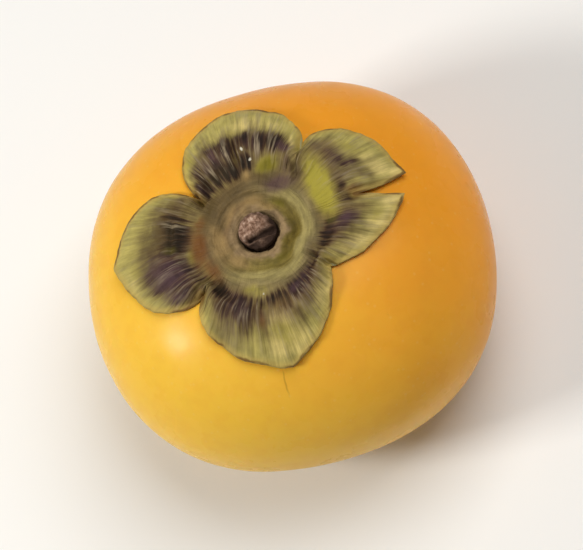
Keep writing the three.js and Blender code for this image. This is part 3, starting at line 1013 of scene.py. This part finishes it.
class PERSIMMON_OT_stem_stub(bpy.types.Operator):
    """Makes the stub of the stalk, broken off unevenly in the calyx's pit"""

    bl_idname = "persimmon.stem_stub"
    bl_label = "Stem Stub"

    def execute(self, context):
        stalk = context.scene.persimmon_stalk
        low, high = level("stem_stub", 0), level("stem_stub", 1)
        rings, columns = 64, 72
        piece = new_sphere(context, "stem_stub_broken", columns, rings)
        hollows = []
        for vertex in piece.data.vertices:
            vertex.co, hollow = self.stub_point(vertex.co.copy(), stalk.stub_radius, low, high)
            hollows.append(hollow)
        put_attribute(piece.data, "hollow", hollows)
        finish_piece(piece, "stem_stub", stub_material(stalk))
        return {"FINISHED"}

    @staticmethod
    def stub_point(unit, radius, low, high):
        """A sphere's point moved to the stub: a short column, higher at its back, with a crack across."""
        out = math.hypot(unit.x, unit.y)
        spread = out**0.45 if out else 0.0
        around = Vector((unit.x, unit.y, 0)) / out if out else Vector((0, 0, 0))
        ragged = 1 + 0.05 * noise.noise(around * 3.1) + 0.02 * noise.noise(around * 8)
        ragged += 0.10 * smoothstep(around.y - 0.4 * around.x, 0, 0.9)
        x, y = around.x * spread * radius * ragged, around.y * spread * radius * ragged + 0.25
        if unit.z <= 0:
            return Vector((x, y, lerp(low + 0.9, low, -unit.z))) * MM, 1.0
        # The crack runs nearly along X and widens to the +X side; beyond it the wood is darker.
        crack = y + 0.9 + 0.2 * x
        # Painted shade: the crack and a spot on the +X side come out near black; both are also cut into
        # the top.
        hollow = bump(crack, 0.38 + 0.5 * smoothstep(x, -1, 2)) * smoothstep(x, -3.3, -2.3)
        hollow = max(hollow, 0.9 * bump(math.hypot(x - 3.3, y / 1.6), 1.0))
        weathered = 0.44 * smoothstep(math.hypot((x + 0.6) / 1.3, y - 1.3), 1.2, 2.5)
        weathered += 0.30 * smoothstep(-crack, 0.3, 1) * (1 - 0.8 * bump(math.hypot(x + 0.5, y + 2), 0.9))
        top = high - 0.6 - 1.1 * smoothstep(-crack, -1.0, 1.2)
        top += 0.5 * noise.noise(Vector((x, y, 0)) / 1.0) + 0.25 * noise.noise(Vector((x, y, 5)) / 0.45)
        top -= 1.3 * hollow
        height = lerp(low + 0.9, min(top, high), unit.z**0.35)
        # Painted shade: the sides low in the pit come out dark, less so towards +Y.
        side = (0.8 - 0.3 * smoothstep(y - 0.4 * x, 0.5, 3)) * (1 - smoothstep(unit.z, 0.2, 0.5))
        return Vector((x, y, height)) * MM, max(hollow, side, weathered)


# ---------------------------------------------------------------- style tip


def style_material(stalk):
    """The withered style: dry, nearly black and brittle."""
    material, tree, shader = new_material("style_withered")
    place = add(tree, "ShaderNodeTexCoord").outputs["Object"]
    flakes = grain(tree, place, 0.5 * MM, 3)
    base = blend(tree, between(tree, flakes, 0.4, 0.7), stalk.style_colour, linear("#4A3524"))
    connect(tree, shader, Base_Color=base, Roughness=0.9, Normal=raised(tree, flakes, 0.2 * MM, 0.8))
    return material


class PERSIMMON_OT_style_tip(bpy.types.Operator):
    """Makes the dried tip of the style, which hangs in the blossom end's dimple"""

    bl_idname = "persimmon.style_tip"
    bl_label = "Style Tip"

    def execute(self, context):
        low, high = level("style_tip", 0), level("style_tip", 1)
        piece = new_sphere(context, "style_tip_dried", 32, 24)
        for vertex in piece.data.vertices:
            unit = vertex.co.copy()
            lobes = 1 + 0.22 * math.cos(4 * math.atan2(unit.y, unit.x)) * smoothstep(-unit.z, -0.4, 0.8)
            width = 0.85 * lobes * (1 - 0.35 * smoothstep(-unit.z, -0.5, 0.6))
            z = lerp(low + 0.1, high + 0.2, (unit.z + 1) / 2) + 0.12 * noise.noise(unit * 3)
            vertex.co = Vector((unit.x * width, unit.y * width, z)) * MM
        finish_piece(piece, "style_tip", style_material(context.scene.persimmon_stalk))
        return {"FINISHED"}


# ---------------------------------------------------------------- stage

CAMERA_ELEVATION = 68.0
CAMERA_ROLL = 37.5
CAMERA_DISTANCE = 0.9
FRUIT_WIDTH = 78
FRUIT_SHARE = 0.70  # the fruit's width in the frame's width
FLOOR_SIZE = 6
AIR_GLOW = 0.14


def add_light(name, direction, distance, width, power, tint):
    """A square soft light that faces the fruit's middle from a direction."""
    target = Vector((0, 0, 28 * MM))
    aim = Vector(direction).normalized()
    bpy.ops.object.light_add(type="AREA", location=target + aim * distance)
    light = bpy.context.object
    light.name = name
    light.rotation_euler = aim.to_track_quat("Z", "Y").to_euler()
    light.data.size = width
    light.data.energy = power
    light.data.color = tint


def floor_material(stage):
    """Plain studio paper: matt and even."""
    material, tree, shader = new_material("floor_paper_matt")
    connect(tree, shader, Base_Color=(*stage.floor_colour, 1), Roughness=0.9, Specular_IOR_Level=0.2)
    return material


class PERSIMMON_OT_stage(bpy.types.Operator):
    """Makes the pale floor, the soft lights and the camera"""

    bl_idname = "persimmon.stage"
    bl_label = "Stage"

    def execute(self, context):
        stage = context.scene.persimmon_stage
        bpy.ops.object.select_all(action="DESELECT")
        bpy.ops.mesh.primitive_plane_add(size=FLOOR_SIZE)
        floor = context.object
        floor.name = "floor"
        floor.data.materials.append(floor_material(stage))

        add_light("key_light", (-0.77, 0.18, 0.61), 0.62, 0.15, stage.key_power, (1.0, 0.985, 0.95))
        add_light("top_light", (0.41, 0.11, 0.91), 0.80, 0.60, stage.top_power, (1.0, 0.99, 0.975))
        add_light("fill_light", (0.80, -0.45, 0.35), 0.70, 0.40, stage.fill_power, (1.0, 0.99, 0.98))

        world = context.scene.world or bpy.data.worlds.new("studio_air")
        context.scene.world = world
        world.use_nodes = True
        background = world.node_tree.nodes["Background"]
        background.inputs["Color"].default_value = (1, 1, 1, 1)
        background.inputs["Strength"].default_value = AIR_GLOW
        context.scene.view_settings.view_transform = "Standard"
        self.add_camera(context)
        return {"FINISHED"}

    @staticmethod
    def add_camera(context):
        """A long lens above the -Y side, rolled so that the fruit's axis leans to the upper left."""
        elevation, roll = math.radians(CAMERA_ELEVATION), math.radians(CAMERA_ROLL)
        back = Vector((0, -math.cos(elevation), math.sin(elevation)))
        target = Vector((0, 0, equator_height(context.scene.persimmon_fruit) * MM))
        bpy.ops.object.camera_add(location=target + back * CAMERA_DISTANCE)
        camera = context.object
        camera.name = "camera"
        upright = (-back).to_track_quat("-Z", "Y")
        camera.rotation_mode = "QUATERNION"
        camera.rotation_quaternion = Quaternion(back, -roll) @ upright
        frame_width = FRUIT_WIDTH * MM / FRUIT_SHARE
        camera.data.lens = camera.data.sensor_width * CAMERA_DISTANCE / frame_width
        camera.data.clip_start, camera.data.clip_end = 0.01, 20
        camera.data.dof.use_dof = False
        context.scene.camera = camera


# ---------------------------------------------------------------- sidebar panel and registration

OPERATORS = (
    PERSIMMON_OT_fruit_body,
    PERSIMMON_OT_calyx,
    PERSIMMON_OT_stem_stub,
    PERSIMMON_OT_style_tip,
    PERSIMMON_OT_stage,
)
SETTINGS = {
    "persimmon_fruit": FruitSettings,
    "persimmon_calyx": CalyxSettings,
    "persimmon_stalk": StalkSettings,
    "persimmon_stage": StageSettings,
}


class PERSIMMON_PT_pieces(bpy.types.Panel):
    """Lists the persimmon's pieces and their settings"""

    bl_idname = "PERSIMMON_PT_pieces"
    bl_label = "Persimmon"
    bl_space_type = "VIEW_3D"
    bl_region_type = "UI"
    bl_category = "Persimmon"

    def draw(self, context):
        for operator in OPERATORS:
            self.layout.operator(operator.bl_idname)
        for attribute_name, group in SETTINGS.items():
            box = self.layout.box()
            for field in group.__annotations__:
                box.prop(getattr(context.scene, attribute_name), field)


def register():
    for cls in (*SETTINGS.values(), *OPERATORS, PERSIMMON_PT_pieces):
        bpy.utils.register_class(cls)
    for attribute_name, group in SETTINGS.items():
        setattr(bpy.types.Scene, attribute_name, bpy.props.PointerProperty(type=group))


def unregister():
    for attribute_name in SETTINGS:
        delattr(bpy.types.Scene, attribute_name)
    for cls in (PERSIMMON_PT_pieces, *OPERATORS, *SETTINGS.values()):
        bpy.utils.unregister_class(cls)


def main():
    register()
    bpy.ops.persimmon.fruit_body()
    bpy.ops.persimmon.calyx()
    bpy.ops.persimmon.stem_stub()
    bpy.ops.persimmon.style_tip()
    bpy.ops.persimmon.stage()


if __name__ == "__main__":
    main()
